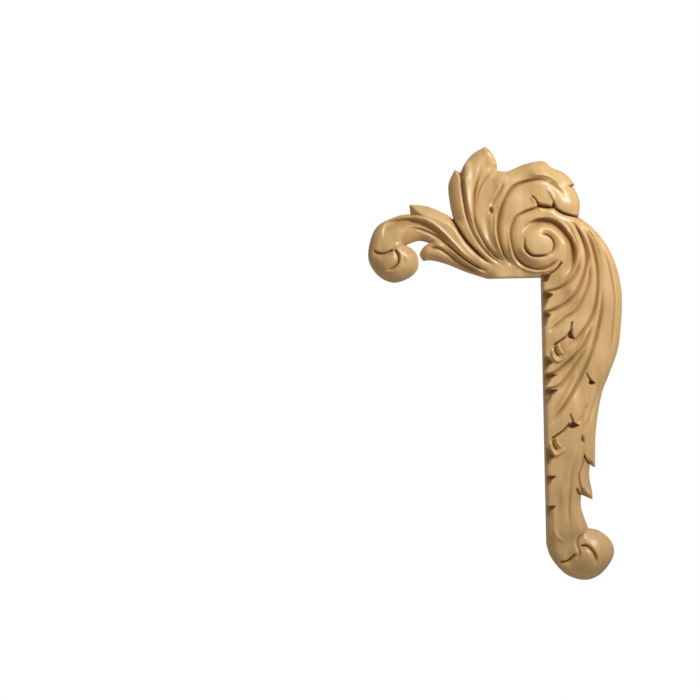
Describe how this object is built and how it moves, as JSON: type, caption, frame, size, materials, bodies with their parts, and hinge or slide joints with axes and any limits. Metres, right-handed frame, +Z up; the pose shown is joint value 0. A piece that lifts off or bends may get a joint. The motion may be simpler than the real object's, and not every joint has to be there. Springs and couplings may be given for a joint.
{
  "type": "carved corner onlay",
  "caption": "Carved wood corner onlay: an acanthus scroll with a volute, leaf crest, short arm and long leg, each ending in a bud.",
  "frame": {"origin": "on the flat back, straight behind the centre of the volute's eye", "axes": "+Z up along the leg, +X towards the crest's side and away from the arm, -Y out of the carved front, +Y into the surface that it is fixed to"},
  "size_m": [0.1174, 0.0206, 0.2032],
  "materials": {
    "wood": "satin clear lacquer on light maple"
  },
  "bodies": {
    "root": {"corner_onlay": "wood"}
  },
  "joints": []
}
